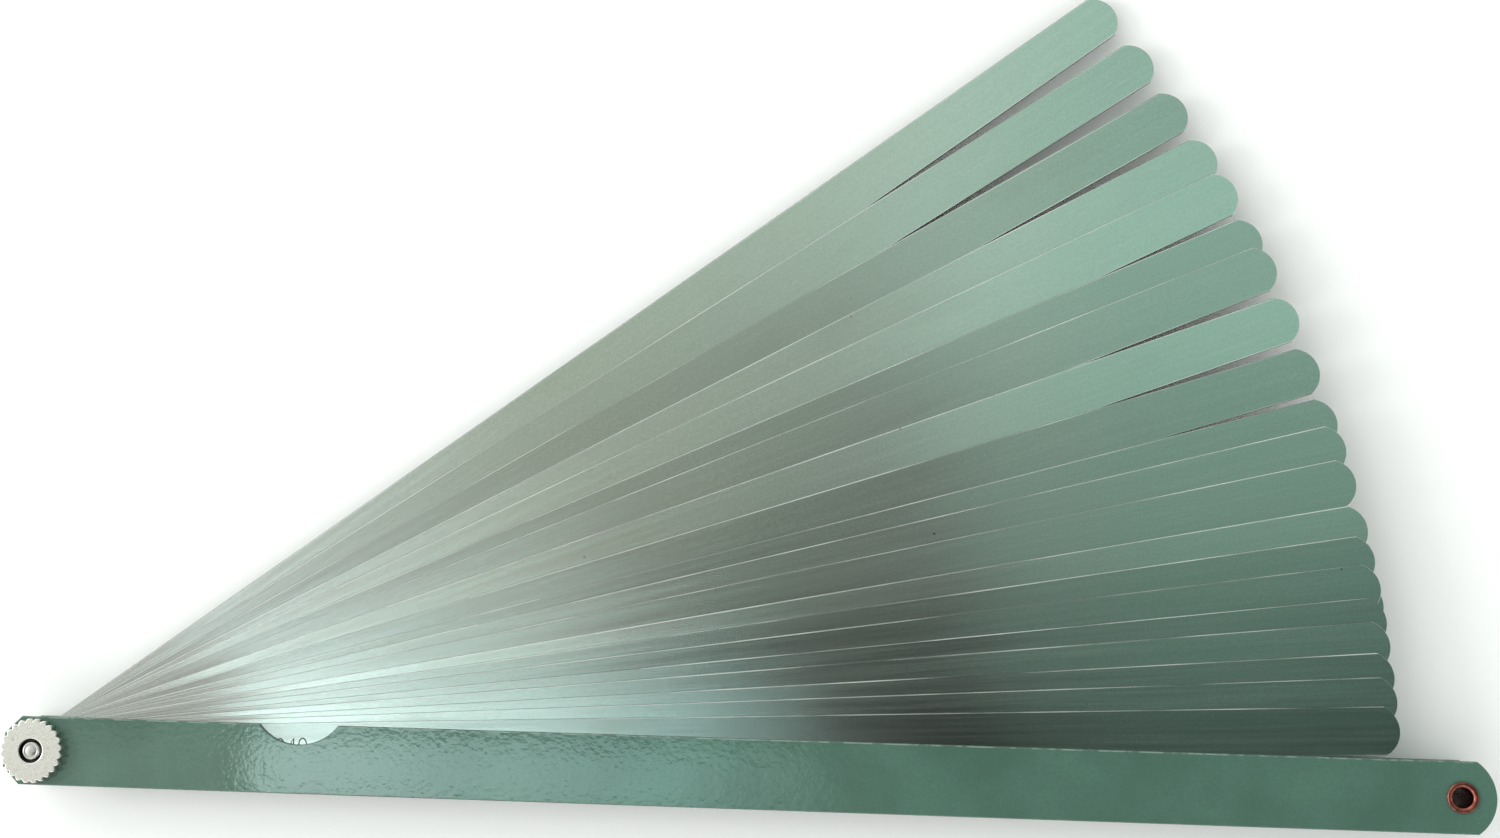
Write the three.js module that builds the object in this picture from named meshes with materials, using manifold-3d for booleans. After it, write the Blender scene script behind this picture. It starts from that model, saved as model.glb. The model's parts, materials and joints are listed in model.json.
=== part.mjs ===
// Long feeler gauge: a fan of steel leaves that swing on one clamping screw between two case plates.
//
// Millimetres, +Z up. The gauge lies flat with its leaves fanned out.
// The pivot axis is the Z axis, and z = 0 is the underside of the pivot screw's head.
// The case runs along +X to its eyelet, and the leaves open towards +Y.

import * as THREE from 'three';
import { mergeVertices } from 'three/addons/utils/BufferGeometryUtils.js';
import Module from 'manifold-3d';

const wasm = await Module();
wasm.setup();

// ---- Driving dimensions ----

// Leaves: one strip of spring steel each, all of the same outline.
const LEAF_WIDTH = 10.4;
const LEAF_TIP = 294.5; // from the pivot to the end of the tip
const LEAF_TIP_RADIUS = 5.7; // the tip's arc, cut off by the leaf's two long edges
const LEAF_HEEL_RADIUS = 5.5; // the heel's arc, round the pivot
const LEAF_HOLE_RADIUS = 2.15;
const LEAF_GAP = 0.05; // running gap between neighbours in the stack

// Case: two plates of the same outline.
const PLATE_THICKNESS = 1.0;
const PLATE_WIDTH = 15;
const PLATE_HEEL = 7.2; // from the pivot back to the chamfered end
const PLATE_CHAMFER = 3.8;
const PLATE_TIP = 313.2; // from the pivot to the far end
const PLATE_TIP_RADIUS = 9.2;
const NOTCH_X = 59.2; // middle of the finger notch
const NOTCH_CHORD = 17.8;
const NOTCH_DEPTH = 4.35;

// Eyelet at the far end, and the sleeve that it clamps between the plates.
const EYELET_X = 306.2;
const EYELET_BORE_RADIUS = 1.95;
const EYELET_BARREL_RADIUS = 2.3;
const EYELET_CREST_RADIUS = 2.85; // the highest ring of the rolled flange
const EYELET_FLANGE_RADIUS = 3.25;
const EYELET_FLANGE_HEIGHT = 0.6;
const EYELET_FLARE = 0.2; // how far inside the case the bore starts to open out
const SLEEVE_RADIUS = 4;
const SLEEVE_CLEARANCE = 0.1;

// Pivot screw and its nut.
const SCREW_HEAD_RADIUS = 5.5;
const SCREW_HEAD_HEIGHT = 1.6;
const SCREW_HEAD_CHAMFER = 0.35;
const SCREW_NECK_RADIUS = 3;
const SCREW_FLAT = 2.1; // from the axis to each of the neck's two flats
const SCREW_NECK_CLEARANCE = 0.1;
const SCREW_SHANK_RADIUS = 2;
const SCREW_END_CHAMFER = 0.3;
const SCREW_END_BELOW_NUT = 0.15;
const NUT_TEETH = 24;
const NUT_TIP_RADIUS = 7.05;
const NUT_VALLEY_RADIUS = 6.4;
const NUT_HEIGHT = 3;
const NUT_EDGE = 0.25; // bevel round both faces
const NUT_BORE_RADIUS = 2.15;
const NUT_RECESS_RADIUS = 2.65;
const NUT_RECESS_DEPTH = 1.2;

const ROUND_SEGMENTS = 48;

// The stack from the back plate up: thickness in millimetres, and how far the leaf is swung out
// from the case, in degrees.
const LEAVES = [
  { thickness: 1.0, angle: 36.2 },
  { thickness: 0.95, angle: 33.5 },
  { thickness: 0.9, angle: 30.8 },
  { thickness: 0.85, angle: 28.3 },
  { thickness: 0.8, angle: 26.5 },
  { thickness: 0.75, angle: 24.2 },
  { thickness: 0.7, angle: 22.8 },
  { thickness: 0.65, angle: 20.4 },
  { thickness: 0.6, angle: 18.0 },
  { thickness: 0.55, angle: 15.7 },
  { thickness: 0.5, angle: 14.5 },
  { thickness: 0.45, angle: 13.0 },
  { thickness: 0.4, angle: 11.0 },
  { thickness: 0.35, angle: 9.7 },
  { thickness: 0.05, angle: 7.8, spare: true },
  { thickness: 0.3, angle: 8.5 },
  { thickness: 0.05, angle: 7.1 },
  { thickness: 0.25, angle: 6.1 },
  { thickness: 0.2, angle: 4.8 },
  { thickness: 0.15, angle: 3.8 },
  { thickness: 0.1, angle: 2.6 },
];

// ---- Levels ----

const BACK_PLATE_Z = SCREW_HEAD_HEIGHT;
const STACK_Z = BACK_PLATE_Z + PLATE_THICKNESS;
const STACK_HEIGHT = LEAVES.reduce((sum, leaf) => sum + leaf.thickness + LEAF_GAP, LEAF_GAP);
const FRONT_PLATE_Z = STACK_Z + STACK_HEIGHT;
const NUT_Z = FRONT_PLATE_Z + PLATE_THICKNESS;
const NUT_TOP_Z = NUT_Z + NUT_HEIGHT;

// ---- Materials ----

function material(colour, roughness, metalness) {
  return new THREE.MeshStandardMaterial({ color: colour, roughness, metalness });
}

const paint = () => material(0x6f9a86, 0.35, 0.0);
const leafSteel = () => material(0xaab4b0, 0.35, 1.0);
const nickel = () => material(0xd8d4c8, 0.25, 1.0);
const copper = () => material(0xb06a50, 0.3, 1.0);
const zincSteel = () => material(0x8f938f, 0.45, 1.0);

// ---- Helpers ----

function toSolid(geometry) {
  const bare = geometry.clone();
  bare.deleteAttribute('normal');
  bare.deleteAttribute('uv');
  const merged = mergeVertices(bare, 1e-4);
  return new wasm.Manifold(new wasm.Mesh({
    numProp: 3,
    vertProperties: Float32Array.from(merged.attributes.position.array),
    triVerts: Uint32Array.from(merged.index.array),
  }));
}

function toGeometry(solid) {
  const mesh = solid.getMesh();
  const geometry = new THREE.BufferGeometry();
  geometry.setAttribute('position', new THREE.BufferAttribute(mesh.vertProperties, 3));
  geometry.setIndex(new THREE.BufferAttribute(mesh.triVerts, 1));
  geometry.computeVertexNormals();
  return geometry;
}

function cylinder(radius, zLow, zHigh) {
  const geometry = new THREE.CylinderGeometry(radius, radius, zHigh - zLow, ROUND_SEGMENTS);
  geometry.rotateX(Math.PI / 2);
  geometry.translate(0, 0, (zLow + zHigh) / 2);
  return geometry;
}

// Turns a profile of [radius, z] points about the Z axis.
function turned(profile) {
  const points = profile.map(([radius, z]) => new THREE.Vector2(radius, z));
  const geometry = new THREE.LatheGeometry(points, ROUND_SEGMENTS);
  geometry.rotateX(Math.PI / 2);
  return geometry;
}

function roundHole(x, radius) {
  const hole = new THREE.Path();
  hole.absarc(x, 0, radius, 0, 2 * Math.PI, true);
  return hole;
}

function slab(shape, height, curveSegments = 12) {
  return new THREE.ExtrudeGeometry(shape, { depth: height, bevelEnabled: false, curveSegments });
}

// ---- Leaves ----

function leafShape() {
  const half = LEAF_WIDTH / 2;
  const heelTurn = Math.asin(half / LEAF_HEEL_RADIUS);
  const tipTurn = Math.asin(half / LEAF_TIP_RADIUS);
  const shape = new THREE.Shape();
  shape.absarc(0, 0, LEAF_HEEL_RADIUS, Math.PI - heelTurn, Math.PI + heelTurn, false);
  shape.absarc(LEAF_TIP - LEAF_TIP_RADIUS, 0, LEAF_TIP_RADIUS, -tipTurn, tipTurn, false);
  shape.closePath();
  shape.holes.push(roundHole(0, LEAF_HOLE_RADIUS));
  return shape;
}

function leafName({ thickness, spare }) {
  const size = thickness.toFixed(2).replace('.', '_');
  return `leaf_${size}${spare ? '_spare' : ''}`;
}

function makeLeaves() {
  const shape = leafShape();
  let z = STACK_Z + LEAF_GAP;
  return LEAVES.map((leaf) => {
    const mesh = new THREE.Mesh(slab(shape, leaf.thickness), leafSteel());
    mesh.name = leafName(leaf);
    mesh.position.z = z;
    mesh.rotation.z = THREE.MathUtils.degToRad(leaf.angle);
    z += leaf.thickness + LEAF_GAP;
    return mesh;
  });
}

// ---- Case plates ----

function plateShape() {
  const half = PLATE_WIDTH / 2;
  const tipTurn = Math.asin(half / PLATE_TIP_RADIUS);
  const notchRadius = (NOTCH_CHORD ** 2 / 4 + NOTCH_DEPTH ** 2) / (2 * NOTCH_DEPTH);
  const notchTurn = Math.asin(NOTCH_CHORD / 2 / notchRadius);
  const notchY = half - NOTCH_DEPTH + notchRadius;
  const down = -Math.PI / 2;
  const shape = new THREE.Shape();
  shape.moveTo(-PLATE_HEEL, PLATE_CHAMFER - half);
  shape.lineTo(PLATE_CHAMFER - PLATE_HEEL, -half);
  shape.absarc(PLATE_TIP - PLATE_TIP_RADIUS, 0, PLATE_TIP_RADIUS, -tipTurn, tipTurn, false);
  shape.absarc(NOTCH_X, notchY, notchRadius, down + notchTurn, down - notchTurn, true);
  shape.lineTo(PLATE_CHAMFER - PLATE_HEEL, half);
  shape.lineTo(-PLATE_HEEL, half - PLATE_CHAMFER);
  shape.closePath();
  shape.holes.push(roundHole(EYELET_X, EYELET_BARREL_RADIUS + SLEEVE_CLEARANCE));
  return shape;
}

// Round hole with two flats, which stops the screw from turning in the back plate.
function flatSidedHole() {
  const radius = SCREW_NECK_RADIUS + SCREW_NECK_CLEARANCE;
  const turn = Math.asin((SCREW_FLAT + SCREW_NECK_CLEARANCE) / radius);
  const hole = new THREE.Path();
  hole.absarc(0, 0, radius, turn, -turn, true);
  hole.absarc(0, 0, radius, turn - Math.PI, -turn - Math.PI, true);
  hole.closePath();
  return hole;
}

function makeFrontPlate() {
  const shape = plateShape();
  shape.holes.push(roundHole(0, LEAF_HOLE_RADIUS));
  const mesh = new THREE.Mesh(slab(shape, PLATE_THICKNESS), paint());
  mesh.name = 'front_plate';
  mesh.position.z = FRONT_PLATE_Z;
  return mesh;
}

function makeBackPlate() {
  const shape = plateShape();
  shape.holes.push(flatSidedHole());
  const mesh = new THREE.Mesh(slab(shape, PLATE_THICKNESS), paint());
  mesh.name = 'back_plate';
  mesh.position.z = BACK_PLATE_Z;
  return mesh;
}

// ---- Far end ----

function makeEndSleeve() {
  const inner = EYELET_BARREL_RADIUS + SLEEVE_CLEARANCE;
  const mesh = new THREE.Mesh(
    turned([
      [inner, STACK_Z],
      [SLEEVE_RADIUS, STACK_Z],
      [SLEEVE_RADIUS, FRONT_PLATE_Z],
      [inner, FRONT_PLATE_Z],
      [inner, STACK_Z],
    ]),
    zincSteel(),
  );
  mesh.name = 'end_sleeve';
  mesh.position.x = EYELET_X;
  return mesh;
}

function makeEyelet() {
  const low = BACK_PLATE_Z;
  const high = FRONT_PLATE_Z + PLATE_THICKNESS;
  const lip = EYELET_FLANGE_HEIGHT / 2;
  const mesh = new THREE.Mesh(
    turned([
      [EYELET_BORE_RADIUS, low + EYELET_FLARE],
      [EYELET_BARREL_RADIUS, low - lip],
      [EYELET_CREST_RADIUS, low - EYELET_FLANGE_HEIGHT],
      [EYELET_FLANGE_RADIUS, low - lip],
      [EYELET_FLANGE_RADIUS, low],
      [EYELET_BARREL_RADIUS, low],
      [EYELET_BARREL_RADIUS, high],
      [EYELET_FLANGE_RADIUS, high],
      [EYELET_FLANGE_RADIUS, high + lip],
      [EYELET_CREST_RADIUS, high + EYELET_FLANGE_HEIGHT],
      [EYELET_BARREL_RADIUS, high + lip],
      [EYELET_BORE_RADIUS, high - EYELET_FLARE],
      [EYELET_BORE_RADIUS, low + EYELET_FLARE],
    ]),
    copper(),
  );
  mesh.name = 'end_eyelet';
  mesh.position.x = EYELET_X;
  return mesh;
}

// ---- Pivot screw and nut ----

function makeScrew() {
  const neckTop = STACK_Z - SCREW_NECK_CLEARANCE / 2;
  const end = NUT_TOP_Z - SCREW_END_BELOW_NUT;
  const blank = turned([
    [0, 0],
    [SCREW_HEAD_RADIUS - SCREW_HEAD_CHAMFER, 0],
    [SCREW_HEAD_RADIUS, SCREW_HEAD_CHAMFER],
    [SCREW_HEAD_RADIUS, SCREW_HEAD_HEIGHT],
    [SCREW_NECK_RADIUS, SCREW_HEAD_HEIGHT],
    [SCREW_NECK_RADIUS, neckTop],
    [SCREW_SHANK_RADIUS, neckTop],
    [SCREW_SHANK_RADIUS, end - SCREW_END_CHAMFER],
    [SCREW_SHANK_RADIUS - SCREW_END_CHAMFER, end],
    [0, end],
  ]);
  let solid = toSolid(blank);
  for (const side of [-1, 1]) {
    const depth = 2 * SCREW_NECK_RADIUS;
    const cutter = new THREE.BoxGeometry(depth * 2, depth, PLATE_THICKNESS);
    cutter.translate(0, side * (SCREW_FLAT + depth / 2), SCREW_HEAD_HEIGHT + PLATE_THICKNESS / 2);
    solid = solid.subtract(toSolid(cutter));
  }
  const mesh = new THREE.Mesh(toGeometry(solid), zincSteel());
  mesh.name = 'pivot_screw';
  return mesh;
}

// Knurled outline: each tooth rises from its valley to a narrow land.
function toothedShape(inset) {
  const pitch = (2 * Math.PI) / NUT_TEETH;
  const shape = new THREE.Shape();
  for (let tooth = 0; tooth < NUT_TEETH; tooth += 1) {
    const corners = [
      [0, NUT_VALLEY_RADIUS],
      [0.4, NUT_TIP_RADIUS],
      [0.6, NUT_TIP_RADIUS],
    ];
    for (const [part, radius] of corners) {
      const angle = (tooth + part) * pitch;
      const x = (radius - inset) * Math.cos(angle);
      const y = (radius - inset) * Math.sin(angle);
      if (tooth === 0 && part === 0) shape.moveTo(x, y);
      else shape.lineTo(x, y);
    }
  }
  shape.closePath();
  return shape;
}

function makeNut() {
  const blank = new THREE.ExtrudeGeometry(toothedShape(NUT_EDGE), {
    depth: NUT_HEIGHT - 2 * NUT_EDGE,
    bevelThickness: NUT_EDGE,
    bevelSize: NUT_EDGE,
    bevelSegments: 1,
  });
  blank.translate(0, 0, NUT_EDGE);
  const beyond = 1;
  const bore = toSolid(cylinder(NUT_BORE_RADIUS, -beyond, NUT_HEIGHT + beyond));
  const recess = toSolid(cylinder(NUT_RECESS_RADIUS, NUT_HEIGHT - NUT_RECESS_DEPTH, NUT_HEIGHT + beyond));
  const solid = toSolid(blank).subtract(bore).subtract(recess);
  const mesh = new THREE.Mesh(toGeometry(solid), nickel());
  mesh.name = 'knurled_nut';
  mesh.position.z = NUT_Z;
  return mesh;
}

// ---- Assembly ----

const gauge = new THREE.Group();
gauge.add(makeBackPlate(), makeFrontPlate(), makeEndSleeve(), makeEyelet(), makeScrew(), makeNut());
gauge.add(...makeLeaves());

export default gauge;
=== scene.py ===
"""Looks of the long feeler gauge: detailed leaves, case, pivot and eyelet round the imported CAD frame.

Everything is in the part's own frame, in metres. Lengths that belong to a shape are written in
millimetres and turned into metres with MM.
"""

import json
import math

import bmesh
import bpy
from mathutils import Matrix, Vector


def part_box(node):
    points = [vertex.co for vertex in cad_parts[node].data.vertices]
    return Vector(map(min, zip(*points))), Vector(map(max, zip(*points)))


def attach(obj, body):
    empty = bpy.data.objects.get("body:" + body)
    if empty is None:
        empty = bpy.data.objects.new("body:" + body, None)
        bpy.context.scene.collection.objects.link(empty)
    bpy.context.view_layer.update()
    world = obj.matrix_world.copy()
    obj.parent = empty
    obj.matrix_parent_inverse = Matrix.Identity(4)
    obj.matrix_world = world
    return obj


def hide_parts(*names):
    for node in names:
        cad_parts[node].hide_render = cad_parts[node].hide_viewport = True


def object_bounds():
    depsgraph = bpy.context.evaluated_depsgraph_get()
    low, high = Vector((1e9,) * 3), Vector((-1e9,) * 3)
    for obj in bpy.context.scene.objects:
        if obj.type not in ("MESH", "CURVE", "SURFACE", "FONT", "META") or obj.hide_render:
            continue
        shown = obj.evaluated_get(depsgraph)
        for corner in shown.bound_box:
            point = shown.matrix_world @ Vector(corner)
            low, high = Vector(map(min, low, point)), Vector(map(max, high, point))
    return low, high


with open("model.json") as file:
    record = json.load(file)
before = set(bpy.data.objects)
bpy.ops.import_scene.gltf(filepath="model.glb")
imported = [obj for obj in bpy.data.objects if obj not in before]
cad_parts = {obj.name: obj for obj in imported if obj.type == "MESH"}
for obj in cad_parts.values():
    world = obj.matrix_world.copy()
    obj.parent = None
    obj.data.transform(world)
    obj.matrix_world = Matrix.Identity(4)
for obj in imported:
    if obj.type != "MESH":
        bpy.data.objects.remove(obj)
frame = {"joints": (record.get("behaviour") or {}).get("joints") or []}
cad_low, cad_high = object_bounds()

MM = 0.001
SHARP_DEGREES = 38

# ---------------------------------------------------------------------------
# Sizes taken from the frame
# ---------------------------------------------------------------------------

back_low, back_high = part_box("back_plate")
front_low, front_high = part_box("front_plate")
nut_low, nut_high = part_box("knurled_nut")
eyelet_low, eyelet_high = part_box("end_eyelet")
sleeve_low, sleeve_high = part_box("end_sleeve")
screw_low, screw_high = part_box("pivot_screw")

PLATE_HALF = front_high.y
PLATE_HEEL = front_low.x
PLATE_TIP = front_high.x
EYELET_X = (eyelet_low.x + eyelet_high.x) / 2
EYELET_Y = (eyelet_low.y + eyelet_high.y) / 2

# Outline sizes that the boxes don't give.
PLATE_TIP_RADIUS = 9.2 * MM
PLATE_CHAMFER = 3.8 * MM
NOTCH_X = 59.2 * MM
NOTCH_CHORD = 17.8 * MM
NOTCH_DEPTH = 4.35 * MM
LEAF_HALF = 5.2 * MM
LEAF_TIP = 294.5 * MM
LEAF_TIP_RADIUS = 5.7 * MM
LEAF_HEEL_RADIUS = 5.5 * MM
PIVOT_HOLE = 2.15 * MM
SHANK_RADIUS = 2.0 * MM
NECK_RADIUS = 3.0 * MM
HEAD_RADIUS = 5.5 * MM
EYELET_BORE = 1.95 * MM
EYELET_BARREL = 2.3 * MM
EYELET_FLANGE = 3.25 * MM
SLEEVE_RADIUS = 4.0 * MM
RIVET_HOLE = 2.4 * MM
NUT_TIP = 7.05 * MM
NUT_VALLEY = 6.4 * MM
NUT_TEETH = 24
NUT_RECESS = 2.65 * MM
NUT_RECESS_DEPTH = 1.9 * MM
THREAD_PITCH = 0.5 * MM
THREAD_DEPTH = 0.22 * MM
NECK_FLAT_END = 2.2 * MM


# ---------------------------------------------------------------------------
# Outlines
# ---------------------------------------------------------------------------

def arc(x, y, radius, start, end, steps):
    """Points along an arc, angles in degrees."""
    points = []
    for i in range(steps + 1):
        a = math.radians(start + (end - start) * i / steps)
        points.append(Vector((x + radius * math.cos(a), y + radius * math.sin(a))))
    return points


def circle(x, y, radius, steps, clockwise=False):
    points = arc(x, y, radius, 0, 360, steps)[:-1]
    return points[::-1] if clockwise else points


def rounded(points, corners, steps=5):
    """Replaces the points whose index is in corners by a small arc of the radius given there."""
    result = []
    count = len(points)
    for i, point in enumerate(points):
        if i not in corners:
            result.append(point)
            continue
        to_last = (points[i - 1] - point).normalized()
        to_next = (points[(i + 1) % count] - point).normalized()
        half = to_last.angle(to_next) / 2
        reach = corners[i] / math.tan(half)
        for k in range(steps + 1):
            t = k / steps
            start = point + to_last * reach
            end = point + to_next * reach
            result.append(start * (1 - t) ** 2 + point * 2 * t * (1 - t) + end * t ** 2)
    return result


def leaf_outline():
    heel = math.degrees(math.asin(LEAF_HALF / LEAF_HEEL_RADIUS))
    tip = math.degrees(math.asin(LEAF_HALF / LEAF_TIP_RADIUS))
    outline = arc(0, 0, LEAF_HEEL_RADIUS, 180 - heel, 180 + heel, 20)
    outline += arc(LEAF_TIP - LEAF_TIP_RADIUS, 0, LEAF_TIP_RADIUS, -tip, tip, 28)
    return outline


def plate_outline():
    """The case plate: chamfered heel, arc-shaped far end and the finger notch, anticlockwise."""
    tip = math.degrees(math.asin(PLATE_HALF / PLATE_TIP_RADIUS))
    notch_radius = (NOTCH_CHORD ** 2 / 4 + NOTCH_DEPTH ** 2) / (2 * NOTCH_DEPTH)
    notch_turn = math.degrees(math.asin(NOTCH_CHORD / 2 / notch_radius))
    notch_y = PLATE_HALF - NOTCH_DEPTH + notch_radius
    chamfer_x = PLATE_HEEL + PLATE_CHAMFER
    chamfer_y = PLATE_HALF - PLATE_CHAMFER
    outline = [Vector((PLATE_HEEL, -chamfer_y)), Vector((chamfer_x, -PLATE_HALF))]
    far = arc(PLATE_TIP - PLATE_TIP_RADIUS, 0, PLATE_TIP_RADIUS, -tip, tip, 36)
    notch = arc(NOTCH_X, notch_y, notch_radius, -90 + notch_turn, -90 - notch_turn, 28)
    outline += far + notch
    outline += [Vector((chamfer_x, PLATE_HALF)), Vector((PLATE_HEEL, chamfer_y))]
    last_far = 2 + len(far) - 1
    first_notch = last_far + 1
    last_notch = first_notch + len(notch) - 1
    sharp, soft = 0.25 * MM, 0.45 * MM
    corners = {0: sharp, 1: sharp, 2: sharp, last_far: sharp, last_notch + 1: sharp, last_notch + 2: sharp}
    corners.update({first_notch: soft, last_notch: soft})
    return rounded(outline, corners)


# ---------------------------------------------------------------------------
# Meshes
# ---------------------------------------------------------------------------

def make_object(name, bm, material):
    """Turns bm into an object with smooth faces and edges kept sharp where they turn hard."""
    bmesh.ops.recalc_face_normals(bm, faces=bm.faces)
    limit = math.radians(SHARP_DEGREES)
    for face in bm.faces:
        face.smooth = True
    for edge in bm.edges:
        if len(edge.link_faces) == 2 and edge.calc_face_angle() > limit:
            edge.smooth = False
    uv = bm.loops.layers.uv.new("UVMap")
    for face in bm.faces:
        for loop in face.loops:
            loop[uv].uv = (loop.vert.co.x, loop.vert.co.y)
    mesh = bpy.data.meshes.new(name)
    bm.to_mesh(mesh)
    bm.free()
    mesh.materials.append(material)
    obj = bpy.data.objects.new(name, mesh)
    bpy.context.scene.collection.objects.link(obj)
    return obj


def inset(loop, distance):
    """The loop moved into the material, which lies on its left."""
    moved = []
    count = len(loop)
    for i, point in enumerate(loop):
        before = (point - loop[i - 1]).normalized()
        after = (loop[(i + 1) % count] - point).normalized()
        normal = Vector((-before.y - after.y, before.x + after.x)).normalized()
        share = max(0.3, normal.dot(Vector((-before.y, before.x))))
        moved.append(point + normal * (distance / share))
    return moved


def slab(name, outer, holes, low, high, edge, material, steps=3):
    """A flat plate between two levels, with rounded edges of radius edge all round."""
    levels = []
    for k in range(steps + 1):
        turn = math.radians(90 * k / steps)
        levels.append((edge * (1 - math.sin(turn)), low + edge * (1 - math.cos(turn))))
    levels += [(d, high - (z - low)) for d, z in reversed(levels)]
    bm = bmesh.new()
    first, last = [], []
    for loop in [outer, *holes]:
        rings = []
        for distance, z in levels:
            ring = [bm.verts.new((p.x, p.y, z)) for p in inset(loop, distance)]
            rings.append(ring)
        count = len(loop)
        for a, b in zip(rings, rings[1:]):
            for i in range(count):
                j = (i + 1) % count
                bm.faces.new((a[i], a[j], b[j], b[i]))
        first += [bm.edges.get((rings[0][i - 1], rings[0][i])) for i in range(count)]
        last += [bm.edges.get((rings[-1][i - 1], rings[-1][i])) for i in range(count)]
    for edges in (first, last):
        bmesh.ops.triangle_fill(bm, use_beauty=True, use_dissolve=False, edges=edges)
    obj = make_object(name, bm, material)
    flatten_caps(obj, low, high)
    return obj


def flatten_caps(obj, low, high):
    """Keeps the two flat sides flat, so that the rounded edge doesn't shade into them."""
    mesh = obj.data
    tiny = 1e-7
    for face in mesh.polygons:
        heights = [mesh.vertices[v].co.z for v in face.vertices]
        flat = all(abs(z - low) < tiny for z in heights) or all(abs(z - high) < tiny for z in heights)
        if flat:
            face.use_smooth = False
    cap_edges = set()
    for face in mesh.polygons:
        if not face.use_smooth:
            cap_edges.update(face.edge_keys)
    for mesh_edge in mesh.edges:
        if mesh_edge.key in cap_edges:
            mesh_edge.use_edge_sharp = True


def rings_to_bmesh(rings, closed):
    """Joins rings of points, each with the same count. closed joins the last ring to the first."""
    bm = bmesh.new()
    made = []
    for ring in rings:
        if len(ring) == 1:
            made.append([bm.verts.new(ring[0])])
        else:
            made.append([bm.verts.new(p) for p in ring])
    pairs = list(zip(made, made[1:]))
    if closed:
        pairs.append((made[-1], made[0]))
    for a, b in pairs:
        count = max(len(a), len(b))
        for i in range(count):
            j = (i + 1) % count
            corners = [a[i % len(a)], a[j % len(a)], b[j % len(b)], b[i % len(b)]]
            face = []
            for corner in corners:
                if corner not in face:
                    face.append(corner)
            bm.faces.new(face)
    return bm


def turned(name, profile, material, centre=(0, 0), segments=96):
    """A body of revolution from (radius, z) points. A profile that starts at radius 0 is solid."""
    rings = []
    for radius, z in profile:
        if radius == 0:
            rings.append([Vector((centre[0], centre[1], z))])
            continue
        ring = []
        for i in range(segments):
            a = 2 * math.pi * i / segments
            x = centre[0] + radius * math.cos(a)
            y = centre[1] + radius * math.sin(a)
            ring.append(Vector((x, y, z)))
        rings.append(ring)
    closed = profile[0][0] > 0
    return make_object(name, rings_to_bmesh(rings, closed), material)


# ---------------------------------------------------------------------------
# Materials
# ---------------------------------------------------------------------------

def add(tree, kind, inputs=None, **settings):
    """A new node. An input is a number, a colour or another node's socket."""
    node = tree.nodes.new(kind)
    for key, value in settings.items():
        setattr(node, key, value)
    for key, value in (inputs or {}).items():
        if isinstance(value, bpy.types.NodeSocket):
            tree.links.new(value, node.inputs[key])
        else:
            node.inputs[key].default_value = value
    return node


def start_material(name):
    material = bpy.data.materials.new(name)
    material.use_nodes = True
    tree = material.node_tree
    shader = tree.nodes["Principled BSDF"]
    coords = add(tree, "ShaderNodeTexCoord")
    return material, tree, shader, coords.outputs["Object"]


def stretched(tree, coords, scale, offset=0.0):
    mapping = add(tree, "ShaderNodeMapping", {"Vector": coords, "Scale": scale, "Location": (offset,) * 3})
    return mapping.outputs["Vector"]


def noise(tree, vector, scale, detail=3.0, roughness=0.5):
    inputs = {"Vector": vector, "Scale": scale, "Detail": detail, "Roughness": roughness}
    return add(tree, "ShaderNodeTexNoise", inputs).outputs["Fac"]


def remap(tree, value, low, high, to_low, to_high):
    inputs = {"Value": value, "From Min": low, "From Max": high, "To Min": to_low, "To Max": to_high}
    return add(tree, "ShaderNodeMapRange", inputs).outputs["Result"]


def mix(tree, factor, a, b, blend="MIX"):
    node = add(tree, "ShaderNodeMix", data_type="RGBA", blend_type=blend)
    for key, value in (("Factor", factor), ("A", a), ("B", b)):
        socket = next(s for s in node.inputs if s.name == key and s.type in ("RGBA", "VALUE")
                      and (key == "Factor" or s.type == "RGBA"))
        if isinstance(value, bpy.types.NodeSocket):
            tree.links.new(value, socket)
        else:
            socket.default_value = value
    return next(s for s in node.outputs if s.type == "RGBA")


def maths(tree, operation, a, b=0.0):
    node = add(tree, "ShaderNodeMath", operation=operation)
    for socket, value in zip(node.inputs, (a, b)):
        if isinstance(value, bpy.types.NodeSocket):
            tree.links.new(value, socket)
        else:
            socket.default_value = value
    return node.outputs[0]


def bump(tree, shader, height, distance, strength=1.0, under=None):
    inputs = {"Height": height, "Distance": distance, "Strength": strength}
    if under is not None:
        inputs["Normal"] = under
    node = add(tree, "ShaderNodeBump", inputs)
    tree.links.new(node.outputs["Normal"], shader.inputs["Normal"])
    return node.outputs["Normal"]


def rgb(red, green, blue):
    return (red, green, blue, 1.0)


def shaded(colour, factor):
    return rgb(*(channel * factor for channel in colour[:3]))


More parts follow.
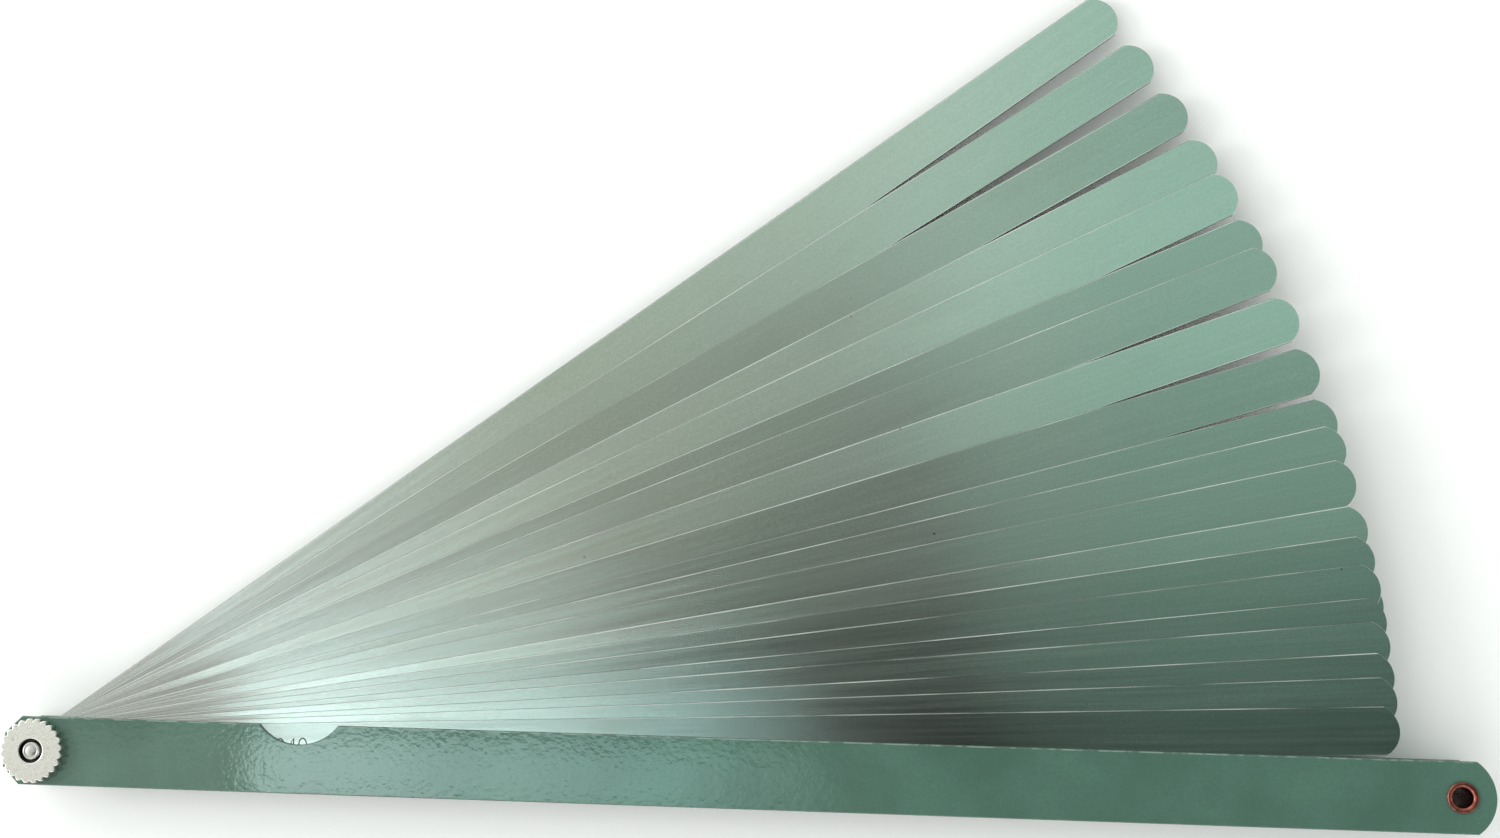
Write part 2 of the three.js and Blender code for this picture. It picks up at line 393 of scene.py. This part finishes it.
def leaf_steel(name, tone, tilt, seed):
    """Spring steel ground along the leaf: fine scratches, faint stains and a few pits.

    A pale matt line of painted highlight runs along each long edge, within a dark line of painted shadow.

    tilt leans the surface very slightly, as no two leaves lie at quite the same angle.
    """
    material, tree, shader, coords = start_material(name)
    base = rgb(0.63 * tone, 0.665 * tone, 0.64 * tone)
    coarse = noise(tree, stretched(tree, coords, (20, 900, 900), seed), 1.0, 3.0, 0.6)
    fine = noise(tree, stretched(tree, coords, (60, 4200, 4200), seed + 7), 1.0, 3.0, 0.6)
    grit = noise(tree, stretched(tree, coords, (1, 1, 1), seed + 5), 2100.0, 3.0, 0.7)
    patches = noise(tree, stretched(tree, coords, (28, 75, 75), seed + 3), 1.0, 3.0, 0.55)
    colour = mix(tree, remap(tree, coarse, 0.35, 0.65, 0, 1), shaded(base, 0.95), shaded(base, 1.04))
    colour = mix(tree, remap(tree, fine, 0.3, 0.7, 0, 1), shaded(base, 0.93), colour)
    colour = mix(tree, remap(tree, grit, 0.3, 0.7, 0.0, 0.5), colour, shaded(base, 0.72))
    stained = remap(tree, patches, 0.58, 0.78, 0.0, 0.14)
    colour = mix(tree, stained, colour, rgb(0.36, 0.36, 0.27))
    moved = stretched(tree, coords, (1, 1, 1), seed)
    dots = add(tree, "ShaderNodeTexVoronoi", {"Vector": moved, "Scale": 170.0})
    spot = remap(tree, dots.outputs["Distance"], 0.03, 0.055, 1.0, 0.0)
    rare = remap(tree, noise(tree, coords, 90.0), 0.6, 0.64, 0.0, 0.75)
    colour = mix(tree, maths(tree, "MULTIPLY", spot, rare), colour, rgb(0.1, 0.09, 0.07))
    split = add(tree, "ShaderNodeSeparateXYZ", {"Vector": coords})
    side = maths(tree, "ABSOLUTE", split.outputs["Y"])
    along_edge = noise(tree, stretched(tree, coords, (30, 1, 1), seed + 9), 1.0)
    uneven = remap(tree, along_edge, 0.38, 0.62, 0.05, 1.0)
    # Painted highlight: a pale matt band along each long edge, broken up along the leaf, standing in for the
    # edge catching the light.
    edge_highlight_band = remap(tree, side, LEAF_HALF - 0.34 * MM, LEAF_HALF - 0.24 * MM, 0.0, 0.7)
    painted_edge_highlight = maths(tree, "MULTIPLY", edge_highlight_band, uneven)
    colour = mix(tree, painted_edge_highlight, colour, rgb(0.60, 0.66, 0.62))
    # Painted shadow: the outermost strip of each long edge is darkened.
    dark = remap(tree, side, LEAF_HALF - 0.13 * MM, LEAF_HALF - 0.06 * MM, 0.0, 0.85)
    colour = mix(tree, dark, colour, rgb(0.06, 0.065, 0.06))
    tree.links.new(colour, shader.inputs["Base Color"])
    ground = remap(tree, coarse, 0.3, 0.7, 0.10, 0.14)
    rough = maths(tree, "ADD", ground, remap(tree, stained, 0, 1, 0, 0.2))
    tree.links.new(rough, shader.inputs["Roughness"])
    tree.links.new(maths(tree, "SUBTRACT", 1.0, painted_edge_highlight), shader.inputs["Metallic"])
    shader.inputs["Anisotropic"].default_value = 0.8
    shader.inputs["Anisotropic Rotation"].default_value = 0.25
    tangent = add(tree, "ShaderNodeTangent", direction_type="UV_MAP", uv_map="UVMap")
    tree.links.new(tangent.outputs["Tangent"], shader.inputs["Tangent"])
    lean = bump(tree, shader, maths(tree, "MULTIPLY", split.outputs["X"], tilt), 1.0)
    under = bump(tree, shader, grit, 0.0005 * MM, 1.0, lean)
    under = bump(tree, shader, coarse, 0.001 * MM, 1.0, under)
    bump(tree, shader, fine, 0.0008 * MM, 1.0, under)
    return material


def case_paint(name):
    """Grey-green gloss enamel with an orange-peel surface, painted dark shade along both long edges and a
    broken line of painted highlight by the +Y edge.
    """
    material, tree, shader, coords = start_material(name)
    base = rgb(0.073, 0.146, 0.113)
    cloud = noise(tree, coords, 60.0, 3.0)
    grit = noise(tree, coords, 2600.0, 2.0)
    colour = mix(tree, remap(tree, cloud, 0.35, 0.65, 0, 1), shaded(base, 0.9), shaded(base, 1.12))
    colour = mix(tree, remap(tree, grit, 0.35, 0.65, 0.0, 0.35), colour, shaded(base, 0.7))
    split = add(tree, "ShaderNodeSeparateXYZ", {"Vector": coords})
    side = maths(tree, "ABSOLUTE", split.outputs["Y"])
    upper = split.outputs["Y"]
    # Painted highlight: a broken pale line along the +Y edge only, where the top edge catches the light.
    edge = remap(tree, upper, PLATE_HALF - 0.42 * MM, PLATE_HALF - 0.25 * MM, 0.0, 1.0)
    highlight_patches = remap(tree, noise(tree, coords, 420.0, 4.0), 0.42, 0.56, 0.0, 0.9)
    colour = mix(tree, maths(tree, "MULTIPLY", edge, highlight_patches), colour, rgb(0.2, 0.29, 0.24))
    # Painted shade: a dark band along both long edges of the plate.
    edge_shade_band = remap(tree, side, PLATE_HALF - 0.16 * MM, PLATE_HALF - 0.04 * MM, 0.0, 0.8)
    colour = mix(tree, edge_shade_band, colour, rgb(0.02, 0.035, 0.03))
    tree.links.new(colour, shader.inputs["Base Color"])
    tree.links.new(remap(tree, cloud, 0.3, 0.7, 0.03, 0.06), shader.inputs["Roughness"])
    shader.inputs["IOR"].default_value = 1.5
    shader.inputs["Coat Weight"].default_value = 0.25
    shader.inputs["Coat Roughness"].default_value = 0.04
    peel = noise(tree, coords, 950.0, 2.0, 0.45)
    wave = noise(tree, coords, 260.0, 2.0)
    under = bump(tree, shader, wave, 0.010 * MM, 1.0)
    bump(tree, shader, peel, 0.0110 * MM, 1.0, under)
    return material


def plated_nickel(name):
    material, tree, shader, coords = start_material(name)
    base = rgb(0.80, 0.78, 0.73)
    cloud = noise(tree, coords, 500.0, 4.0)
    grain = noise(tree, coords, 4200.0, 3.0)
    colour = mix(tree, remap(tree, cloud, 0.35, 0.7, 0, 1), base, shaded(base, 0.78))
    spots = remap(tree, noise(tree, coords, 1300.0, 2.0), 0.6, 0.7, 0.0, 0.35)
    colour = mix(tree, spots, colour, rgb(0.42, 0.37, 0.3))
    split = add(tree, "ShaderNodeSeparateXYZ", {"Vector": coords})
    # Painted shade: the recess below the top face, round the screw end, is painted near black.
    below = remap(tree, split.outputs["Z"], nut_high.z - 0.45 * MM, nut_high.z - 0.15 * MM, 1.0, 0.0)
    flat = add(tree, "ShaderNodeCombineXYZ", {"X": split.outputs["X"], "Y": split.outputs["Y"]})
    length = add(tree, "ShaderNodeVectorMath", {0: flat.outputs["Vector"]}, operation="LENGTH")
    recess_shade = remap(tree, length.outputs["Value"], 2.7 * MM, 2.9 * MM, 0.95, 0.0)
    colour = mix(tree, maths(tree, "MULTIPLY", below, recess_shade), colour, rgb(0.02, 0.02, 0.018))
    tree.links.new(colour, shader.inputs["Base Color"])
    tree.links.new(remap(tree, cloud, 0.3, 0.7, 0.2, 0.36), shader.inputs["Roughness"])
    shader.inputs["Metallic"].default_value = 1.0
    under = bump(tree, shader, cloud, 0.03 * MM, 0.5)
    bump(tree, shader, grain, 0.006 * MM, 0.6, under)
    return material


def rolled_copper(name):
    material, tree, shader, coords = start_material(name)
    cloud = noise(tree, coords, 700.0, 4.0)
    colour = mix(tree, remap(tree, cloud, 0.35, 0.68, 0, 1), rgb(0.32, 0.11, 0.085), rgb(0.09, 0.026, 0.02))
    tree.links.new(colour, shader.inputs["Base Color"])
    tree.links.new(remap(tree, cloud, 0.3, 0.7, 0.14, 0.32), shader.inputs["Roughness"])
    shader.inputs["Metallic"].default_value = 1.0
    bump(tree, shader, noise(tree, coords, 1500.0, 3.0), 0.03 * MM, 0.5)
    return material


def turned_steel(name):
    """Plain machined steel with the fine rings that the lathe leaves."""
    material, tree, shader, coords = start_material(name)
    base = rgb(0.56, 0.555, 0.53)
    cloud = noise(tree, coords, 400.0, 3.0)
    colour = mix(tree, remap(tree, cloud, 0.35, 0.65, 0, 1), shaded(base, 0.8), base)
    tree.links.new(colour, shader.inputs["Base Color"])
    tree.links.new(remap(tree, cloud, 0.3, 0.7, 0.24, 0.4), shader.inputs["Roughness"])
    shader.inputs["Metallic"].default_value = 1.0
    rings = add(tree, "ShaderNodeTexWave",
                {"Vector": coords, "Scale": 900.0, "Distortion": 1.0, "Detail": 2.0},
                wave_type="RINGS", rings_direction="Z")
    bump(tree, shader, rings.outputs["Fac"], 0.01 * MM, 0.5)
    return material


def etched_mark(name):
    material, tree, shader, coords = start_material(name)
    grain = noise(tree, coords, 2500.0, 3.0)
    colour = mix(tree, remap(tree, grain, 0.35, 0.7, 0, 1), rgb(0.02, 0.022, 0.02), rgb(0.09, 0.095, 0.085))
    tree.links.new(colour, shader.inputs["Base Color"])
    tree.links.new(remap(tree, grain, 0.3, 0.7, 0.5, 0.7), shader.inputs["Roughness"])
    bump(tree, shader, grain, 0.005 * MM, 0.5)
    return material


def pale_floor(name):
    material, tree, shader, coords = start_material(name)
    cloud = noise(tree, coords, 6.0, 3.0)
    colour = mix(tree, cloud, rgb(0.90, 0.90, 0.90), rgb(0.93, 0.93, 0.93))
    tree.links.new(colour, shader.inputs["Base Color"])
    shader.inputs["Roughness"].default_value = 0.7
    shader.inputs["Specular IOR Level"].default_value = 0.2
    return material


PAINT = case_paint("case_paint")
NICKEL = plated_nickel("nickel")
COPPER = rolled_copper("copper")
STEEL = turned_steel("turned_steel")
MARK = etched_mark("etched_mark")


# ---------------------------------------------------------------------------
# Size marks etched on the leaves
# ---------------------------------------------------------------------------

GLYPH_HEIGHT = 2.9 * MM
GLYPH_PITCH = 2.15 * MM
POINT_PITCH = 0.75 * MM
STROKE = 0.29 * MM
MARK_X = 57.7 * MM
MARK_Y = 0.35 * MM
MARK_PROUD = 0.008 * MM
MARK_SUNK = 0.012 * MM


def bow(x, y, width, height, start, end, steps=14):
    """Points along part of an ellipse in glyph units, angles in degrees."""
    points = []
    for i in range(steps + 1):
        a = math.radians(start + (end - start) * i / steps)
        points.append(Vector((x + width * math.cos(a), y + height * math.sin(a))))
    return points


def line(*points):
    return [Vector(p) for p in points]


# Each glyph is a list of strokes in a box 0.6 wide and 1 high.
GLYPHS = {
    "0": [bow(0.3, 0.5, 0.3, 0.5, 90, 450, 24)],
    "1": [line((0.1, 0.54), (0.34, 1.0), (0.34, 0.0))],
    "2": [bow(0.3, 0.7, 0.29, 0.3, 165, -35) + line((0.0, 0.0), (0.6, 0.0))],
    "3": [bow(0.28, 0.76, 0.26, 0.24, 150, -85), bow(0.28, 0.27, 0.31, 0.27, 85, -150)],
    "4": [line((0.44, 0.0), (0.44, 1.0), (0.0, 0.3), (0.6, 0.3))],
    "5": [line((0.55, 1.0), (0.1, 1.0), (0.06, 0.56)) + bow(0.27, 0.32, 0.31, 0.32, 115, -150)],
    "6": [line((0.46, 1.0), (0.14, 0.66)) + bow(0.3, 0.31, 0.29, 0.31, 160, 520, 24)],
    "7": [line((0.0, 1.0), (0.6, 1.0), (0.2, 0.0))],
    "8": [bow(0.3, 0.77, 0.23, 0.23, 90, 450, 20), bow(0.3, 0.27, 0.29, 0.27, 90, 450, 22)],
    "9": [line((0.14, 0.0), (0.46, 0.34)) + bow(0.3, 0.69, 0.29, 0.31, -20, 340, 24)],
    ".": [line((0.0, 0.0), (0.0, 0.09))],
}


def ribbon(bm, points, low, high):
    """One stroke as a closed flat ribbon."""
    left, right = [], []
    for i, point in enumerate(points):
        before = points[max(i - 1, 0)]
        after = points[min(i + 1, len(points) - 1)]
        along = (after - before).normalized()
        side = Vector((-along.y, along.x)) * (STROKE / 2)
        left.append(point + side)
        right.append(point - side)
    rings = []
    for a, b in zip(left, right):
        ring = [(a.x, a.y, low), (b.x, b.y, low), (b.x, b.y, high), (a.x, a.y, high)]
        rings.append([bm.verts.new(corner) for corner in ring])
    for a, b in zip(rings, rings[1:]):
        for i in range(4):
            j = (i + 1) % 4
            bm.faces.new((a[i], a[j], b[j], b[i]))
    bm.faces.new(rings[0][::-1])
    bm.faces.new(rings[-1])


def size_mark(name, text, surface_z):
    """The leaf's thickness in plain stroke numerals, centred on the place that the notch shows."""
    advances = [POINT_PITCH if letter == "." else GLYPH_PITCH for letter in text]
    x = MARK_X - sum(advances[:-1]) / 2 - 0.3 * GLYPH_HEIGHT
    bm = bmesh.new()
    for letter, advance in zip(text, advances):
        for stroke in GLYPHS[letter]:
            points = []
            for point in stroke:
                px = x + point.x * GLYPH_HEIGHT
                py = MARK_Y + (point.y - 0.5) * GLYPH_HEIGHT
                points.append(Vector((px, py)))
            ribbon(bm, points, surface_z - MARK_SUNK, surface_z + MARK_PROUD)
        x += advance
    return make_object(name, bm, MARK)


# ---------------------------------------------------------------------------
# Pieces
# ---------------------------------------------------------------------------

def place(obj, body, slot, *nodes):
    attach(obj, body)
    if nodes:
        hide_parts(*nodes)
    return obj


# Tone and lean of each leaf, from the back of the stack to the front.
LEAF_LOOKS = (
    (1.05, 0.004), (0.98, -0.004), (0.85, 0.002), (1.05, 0.006), (1.10, -0.002), (0.88, 0.0),
    (0.92, 0.004), (1.12, -0.006), (0.88, 0.003), (0.90, -0.003), (0.95, 0.002), (0.97, -0.002),
    (1.08, 0.004), (0.90, 0.0), (0.90, 0.003), (0.90, -0.003), (0.88, 0.002), (0.98, -0.004),
    (0.92, 0.003), (0.95, 0.0), (0.76, 0.002),
)


def make_leaves():
    swings = [j for j in frame["joints"] if j["name"].endswith("_swing")]
    outline = leaf_outline()
    hole = circle(0, 0, PIVOT_HOLE, 48, clockwise=True)
    for index, joint in enumerate(swings):
        node = joint["child"]
        tone, tilt = LEAF_LOOKS[index]
        low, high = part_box(node)
        thickness = high.z - low.z
        edge = min(0.12 * MM, thickness * 0.3)
        material = leaf_steel(node + "_steel", tone, tilt, index * 1.7)
        leaf = slab(node + "_blade", outline, [hole], low.z, high.z, edge, material)
        text = f"{thickness / MM:.2f}"
        mark = size_mark(node + "_mark", text, high.z)
        swung_out = math.radians(-joint["range_deg"][0])
        for piece in (leaf, mark):
            piece.rotation_euler.z = swung_out
        place(leaf, node, "leaf_steel", node)
        place(mark, node, "leaf_steel")


def flat_sided_hole():
    """The back plate's hole, round with two flats, clockwise."""
    radius = NECK_RADIUS + 0.1 * MM
    turn = math.degrees(math.asin(NECK_FLAT_END / radius))
    right = arc(0, 0, radius, turn, -turn, 14)
    left = arc(0, 0, radius, 180 + turn, 180 - turn, 14)
    return right + left


def make_plates():
    edge = 0.22 * MM
    outline = plate_outline()
    rivet_hole = circle(EYELET_X, EYELET_Y, RIVET_HOLE, 48, clockwise=True)
    screw_hole = circle(0, 0, PIVOT_HOLE, 48, clockwise=True)
    front = slab("front_cover", outline, [rivet_hole, screw_hole], front_low.z, front_high.z, edge, PAINT)
    place(front, "case", "case_paint", "front_plate")
    back = slab("back_cover", outline, [rivet_hole, flat_sided_hole()], back_low.z, back_high.z, edge, PAINT)
    place(back, "case", "case_paint", "back_plate")


def make_sleeve():
    chamfer = 0.3 * MM
    low, high = sleeve_low.z, sleeve_high.z
    profile = [
        (RIVET_HOLE, low), (SLEEVE_RADIUS - chamfer, low), (SLEEVE_RADIUS, low + chamfer),
        (SLEEVE_RADIUS, high - chamfer), (SLEEVE_RADIUS - chamfer, high), (RIVET_HOLE, high),
    ]
    sleeve = turned("spacer_sleeve", profile, STEEL, (EYELET_X, EYELET_Y))
    place(sleeve, "case", "plain_steel", "end_sleeve")


def flange_profile(level, way):
    """The rolled lip of the eyelet from its bore to its barrel. way is 1 on top, -1 underneath."""
    crest_radius = 2.85 * MM
    crest_height = eyelet_high.z - front_high.z
    flare_start = 0.2 * MM
    points = []
    steps = 9
    for i in range(steps + 1):
        a = math.radians(90 * i / steps)
        radius = EYELET_BORE + (crest_radius - EYELET_BORE) * (1 - math.cos(a))
        height = -flare_start + (crest_height + flare_start) * math.sin(a)
        points.append((radius, level + way * height))
    for i in range(1, steps + 1):
        a = math.radians(90 + 115 * i / steps)
        radius = crest_radius - (EYELET_FLANGE - crest_radius) * math.cos(a)
        height = crest_height * (0.45 + 0.55 * math.sin(a))
        points.append((radius, level + way * height))
    points.append((EYELET_FLANGE - 0.25 * MM, level))
    points.append((EYELET_BARREL, level))
    return points


def make_eyelet():
    top = flange_profile(front_high.z, 1)
    bottom = flange_profile(back_low.z, -1)
    eyelet = turned("copper_eyelet", top + bottom[::-1], COPPER, (EYELET_X, EYELET_Y), 96)
    place(eyelet, "case", "copper", "end_eyelet")


def thread_profile(low, high, pitch, depth):
    """Crests and roots of a fine thread as rings along the shank."""
    points = []
    turns = int((high - low) / pitch)
    for i in range(turns):
        z = low + i * pitch
        points += [(SHANK_RADIUS, z), (SHANK_RADIUS, z + 0.15 * pitch)]
        points += [(SHANK_RADIUS - depth, z + 0.5 * pitch), (SHANK_RADIUS - depth, z + 0.65 * pitch)]
    return points


def make_screw():
    end = screw_high.z
    head_top = back_low.z
    neck_top = back_high.z - 0.05 * MM
    profile = [(0, screw_low.z)]
    profile += [(HEAD_RADIUS - 0.5 * MM, screw_low.z), (HEAD_RADIUS - 0.25 * MM, screw_low.z + 0.08 * MM)]
    profile += [(HEAD_RADIUS - 0.07 * MM, screw_low.z + 0.24 * MM), (HEAD_RADIUS, screw_low.z + 0.45 * MM)]
    profile += [(HEAD_RADIUS, head_top - 0.1 * MM), (HEAD_RADIUS - 0.1 * MM, head_top)]
    profile += [(2.1 * MM, head_top), (2.1 * MM, neck_top), (SHANK_RADIUS, neck_top)]
    profile += thread_profile(front_low.z, end - 0.5 * MM, THREAD_PITCH, THREAD_DEPTH)
    profile += [(SHANK_RADIUS, end - 0.4 * MM), (SHANK_RADIUS - 0.05 * MM, end - 0.25 * MM)]
    profile += [(SHANK_RADIUS - 0.2 * MM, end - 0.06 * MM), (SHANK_RADIUS - 0.36 * MM, end)]
    profile += [(1.56 * MM, end), (1.5 * MM, end - 0.04 * MM), (1.44 * MM, end - 0.16 * MM)]
    profile += [(1.34 * MM, end - 0.2 * MM), (1.2 * MM, end - 0.16 * MM), (0.5 * MM, end - 0.12 * MM)]
    profile += [(0, end - 0.12 * MM)]
    screw = turned("clamp_screw", profile, STEEL)
    place(screw, "case", "plain_steel", "pivot_screw")


def tooth_radius(angle, valley, tip):
    """Radius of the knurled rim at an angle: a sharp valley, straight flanks and a rounded crest."""
    flank_share = 0.42
    rounding = 0.08
    phase = (angle / (2 * math.pi) * NUT_TEETH) % 1.0
    rise = min(1.0, (0.5 - abs(phase - 0.5)) / flank_share)
    return valley + (tip - valley) * (rise - rounding * rise ** 6) / (1 - rounding)


def nut_ring(z, shrink, depth_share=1.0):
    tip = NUT_TIP - shrink
    valley = tip - (NUT_TIP - NUT_VALLEY) * depth_share
    steps = NUT_TEETH * 12
    points = []
    for i in range(steps):
        a = 2 * math.pi * i / steps
        radius = tooth_radius(a, valley, tip)
        points.append(Vector((radius * math.cos(a), radius * math.sin(a), z)))
    return points


def round_ring(z, radius):
    steps = NUT_TEETH * 12
    turn = 2 * math.pi / steps
    return [Vector((radius * math.cos(i * turn), radius * math.sin(i * turn), z)) for i in range(steps)]


def make_nut():
    low, high = nut_low.z, nut_high.z
    recess = NUT_RECESS
    recess_floor = high - NUT_RECESS_DEPTH
    rings = [
        round_ring(low, PIVOT_HOLE),
        round_ring(low, 6.0 * MM),
        nut_ring(low, 0.35 * MM, 0.6),
        nut_ring(low + 0.25 * MM, 0.02 * MM),
        nut_ring(high - 0.25 * MM, 0.0),
        nut_ring(high - 0.08 * MM, 0.05 * MM),
        nut_ring(high, 0.2 * MM),
        nut_ring(high, 0.3 * MM, 0.9),
        round_ring(high, 5.9 * MM),
        round_ring(high, recess + 0.25 * MM),
        round_ring(high, recess + 0.14 * MM),
        round_ring(high - 0.04 * MM, recess + 0.04 * MM),
        round_ring(high - 0.14 * MM, recess),
        round_ring(recess_floor, recess),
        round_ring(recess_floor, PIVOT_HOLE),
    ]
    nut = make_object("clamp_nut", rings_to_bmesh(rings, closed=True), NICKEL)
    place(nut, "nut", "nickel", "knurled_nut")


make_leaves()
make_plates()
make_sleeve()
make_eyelet()
make_screw()
make_nut()


# ---------------------------------------------------------------------------
# Floor, light and camera
# ---------------------------------------------------------------------------

def make_floor():
    size = 3.0
    bm = bmesh.new()
    corners = [(-size, -size), (size, -size), (size, size), (-size, size)]
    bm.faces.new([bm.verts.new((x, y, cad_low.z)) for x, y in corners])
    floor = make_object("floor", bm, pale_floor("floor_paint"))


def ramp(tree, factor, stops):
    """A smooth colour ramp from (position, colour) stops."""
    node = add(tree, "ShaderNodeValToRGB", {"Fac": factor})
    node.color_ramp.interpolation = "EASE"
    elements = node.color_ramp.elements
    while len(elements) < len(stops):
        elements.new(0.5)
    for element, (position, colour) in zip(elements, stops):
        element.position = position
        element.color = colour
    return node.outputs["Color"]


# The ceiling of the studio as the gauge's flat faces mirror it. Each row runs across from the
# pivot's side to the eyelet's side. CASE is over the case, the others are further out over the fan.
# The stops were set to bring the faces' tones close to the reference from the main camera.
CASE = (
    (0.00, rgb(1.00, 1.05, 0.95)), (0.146, rgb(1.05, 1.10, 1.00)), (0.160, rgb(4.90, 6.30, 6.10)),
    (0.20, rgb(4.60, 5.90, 5.80)), (0.31, rgb(3.00, 4.20, 4.10)), (0.42, rgb(1.95, 3.10, 3.00)),
    (0.49, rgb(1.05, 1.50, 1.45)), (0.53, rgb(0.25, 0.28, 0.26)), (0.60, rgb(0.05, 0.06, 0.05)),
    (0.68, rgb(0.10, 0.14, 0.12)), (1.00, rgb(0.08, 0.12, 0.10)),
)
NEAR = (
    (0.00, rgb(1.15, 1.12, 1.10)), (0.07, rgb(0.74, 0.70, 0.69)), (0.12, rgb(0.72, 0.68, 0.67)),
    (0.19, rgb(0.74, 0.74, 0.71)), (0.31, rgb(0.68, 0.68, 0.62)), (0.36, rgb(0.53, 0.48, 0.44)),
    (0.41, rgb(0.20, 0.11, 0.11)), (0.46, rgb(0.05, 0.05, 0.045)), (0.60, rgb(0.05, 0.058, 0.056)),
    (0.66, rgb(0.12, 0.20, 0.17)), (0.74, rgb(0.13, 0.23, 0.19)), (1.00, rgb(0.06, 0.10, 0.08)),
)
MIDDLE = (
    (0.00, rgb(0.84, 0.88, 0.82)), (0.20, rgb(0.70, 0.76, 0.68)), (0.31, rgb(0.57, 0.64, 0.53)),
    (0.42, rgb(0.50, 0.56, 0.46)), (0.50, rgb(0.36, 0.42, 0.36)), (0.57, rgb(0.30, 0.34, 0.30)),
    (0.63, rgb(0.36, 0.48, 0.41)), (0.74, rgb(0.30, 0.48, 0.39)), (1.00, rgb(0.26, 0.46, 0.38)),
)
FAR = (
    (0.00, rgb(0.80, 0.88, 0.80)), (0.31, rgb(0.62, 0.74, 0.62)), (0.50, rgb(0.62, 0.76, 0.64)),
    (0.60, rgb(0.62, 0.84, 0.72)), (0.72, rgb(0.48, 0.74, 0.62)), (1.00, rgb(0.44, 0.72, 0.62)),
)


def smooth(tree, value, low, high):
    """0 below low, 1 above high and an even curve between them."""
    inputs = {"Value": value, "From Min": low, "From Max": high, "To Min": 0.0, "To Max": 1.0}
    return add(tree, "ShaderNodeMapRange", inputs, interpolation_type="SMOOTHSTEP").outputs["Result"]


def make_world():
    world = bpy.data.worlds.new("studio")
    world.use_nodes = True
    bpy.context.scene.world = world
    tree = world.node_tree
    background = tree.nodes["Background"]
    coords = add(tree, "ShaderNodeTexCoord")
    split = add(tree, "ShaderNodeSeparateXYZ", {"Vector": coords.outputs["Generated"]})
    up = maths(tree, "MAXIMUM", split.outputs["Z"], 0.05)
    across = remap(tree, maths(tree, "DIVIDE", split.outputs["X"], up), -0.35, 0.35, 0.0, 1.0)
    along = maths(tree, "DIVIDE", split.outputs["Y"], up)
    beside = smooth(tree, along, 0.016, -0.012)
    near = mix(tree, beside, ramp(tree, across, NEAR), rgb(0.32, 0.30, 0.30), "MULTIPLY")
    ceiling = mix(tree, smooth(tree, along, 0.0, 0.11), near, ramp(tree, across, MIDDLE))
    ceiling = mix(tree, smooth(tree, along, 0.11, 0.21), ceiling, ramp(tree, across, FAR))
    past_low_edge = smooth(tree, along, -0.062, -0.050)
    past_high_edge = smooth(tree, along, -0.0175, -0.0225)
    strip = maths(tree, "MULTIPLY", past_low_edge, past_high_edge)
    ceiling = mix(tree, strip, ceiling, ramp(tree, across, CASE))
    left = smooth(tree, split.outputs["X"], 0.6, -0.6)
    fan_side = smooth(tree, split.outputs["Y"], -0.3, 0.5)
    walls = mix(tree, fan_side, rgb(0.95, 0.97, 0.96), rgb(0.62, 0.66, 0.64))
    walls = mix(tree, left, walls, rgb(1.75, 1.77, 1.72))
    high = smooth(tree, split.outputs["Z"], 0.84, 0.93)
    tree.links.new(mix(tree, high, walls, ceiling), background.inputs["Color"])
    background.inputs["Strength"].default_value = 1.0


def make_side_light():
    """A low soft light on the pivot's side, which gives the nut its shadow along the case."""
    light = bpy.data.lights.new("side_softbox", "AREA")
    light.shape = "RECTANGLE"
    light.size = 0.25
    light.size_y = 0.25
    light.energy = 2.5
    light.color = (1.0, 1.0, 0.98)
    obj = bpy.data.objects.new("side_softbox", light)
    bpy.context.scene.collection.objects.link(obj)
    obj.location = (-0.75, 0.08, 0.62)
    aim = Vector((0.15, 0.03, 0.0)) - obj.location
    obj.rotation_euler = aim.to_track_quat("-Z", "Y").to_euler()


def make_camera():
    data = bpy.data.cameras.new("camera")
    data.lens = 53.02
    data.sensor_width = 36.0
    data.shift_x = 0.1211
    data.shift_y = -0.0384
    data.clip_start = 0.01
    data.clip_end = 20.0
    camera = bpy.data.objects.new("camera", data)
    bpy.context.scene.collection.objects.link(camera)
    camera.location = (0.1665, 0.0163, 0.4993)
    camera.rotation_euler = (math.radians(8.678), math.radians(5.644), math.radians(1.688))
    bpy.context.scene.camera = camera


make_floor()
make_world()
make_side_light()
make_camera()
bpy.context.scene.view_settings.view_transform = "Standard"
bpy.context.scene.view_settings.look = "None"
